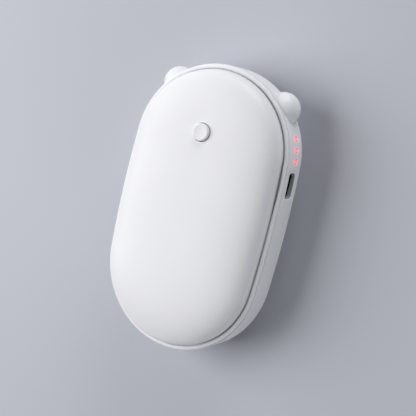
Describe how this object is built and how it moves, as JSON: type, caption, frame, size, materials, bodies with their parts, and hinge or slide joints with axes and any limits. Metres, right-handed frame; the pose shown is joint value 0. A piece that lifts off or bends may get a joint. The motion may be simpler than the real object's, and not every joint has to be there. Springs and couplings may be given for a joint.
{
  "type": "rechargeable hand warmer",
  "caption": "Oblong pocket hand warmer with domed covers, rounded ears on its band, a front button, indicator lights and a USB-C charging socket on one side.",
  "frame": {"origin": "middle of the flat pad on the rear cover that the part rests on", "axes": "+Z out of the front face with the button, +Y towards the ears, +X towards the side with the socket and lights"},
  "size_m": [0.0632, 0.105, 0.0291],
  "materials": {
    "shell": "satin moulded, white",
    "button": "satin moulded, white",
    "chassis": "moulded, dark grey",
    "board": "solder mask, green",
    "black_plastic": "moulded, black",
    "ferrite": "pressed ferrite",
    "ceramic_part": "fired ceramic",
    "steel": "stamped, plain",
    "gold": "plated",
    "light_pipe": "clear, lit red",
    "led": "clear resin, lit red",
    "cell": "laminate pouch",
    "heat_plate": "rolled sheet",
    "film": "amber polyimide",
    "foam": "closed-cell foam",
    "lead_red": "insulated wire",
    "lead_black": "insulated wire",
    "lead_white": "insulated wire",
    "sensor": "epoxy bead"
  },
  "bodies": {
    "casing": {"front_cover": "shell", "rear_cover": "shell", "middle_frame": "shell", "tact_switch_base": "black_plastic", "usb_shell": "steel", "usb_tongue": "black_plastic", "usb_contacts": "gold", "indicator_light_pipe": "light_pipe", "indicator_leds": "led", "main_board": "board", "controller_chip": "black_plastic", "power_inductor": "ferrite", "heater_transistors": "black_plastic", "board_capacitors": "ceramic_part", "inner_chassis": "chassis", "chassis_screws": "steel", "board_screws": "steel", "battery_cell": "cell", "battery_protection_board": "board", "battery_lead_positive": "lead_red", "battery_lead_negative": "lead_black", "front_heat_plate": "heat_plate", "front_heater_film": "film", "front_heater_leads": "lead_white", "front_foam_pad": "foam", "rear_heat_plate": "heat_plate", "rear_heater_film": "film", "rear_heater_leads": "lead_white", "rear_foam_pad": "foam", "thermistor": "sensor", "thermistor_leads": "lead_black"},
    "button": {"power_button": "button", "tact_switch_plunger": "black_plastic"}
  },
  "joints": [
    {"name": "button_press", "type": "slide", "parent": "casing", "child": "button", "axis": [0, 0, -1], "range_m": [0, 0.00035], "stiffness_N_per_m": 2000}
  ]
}
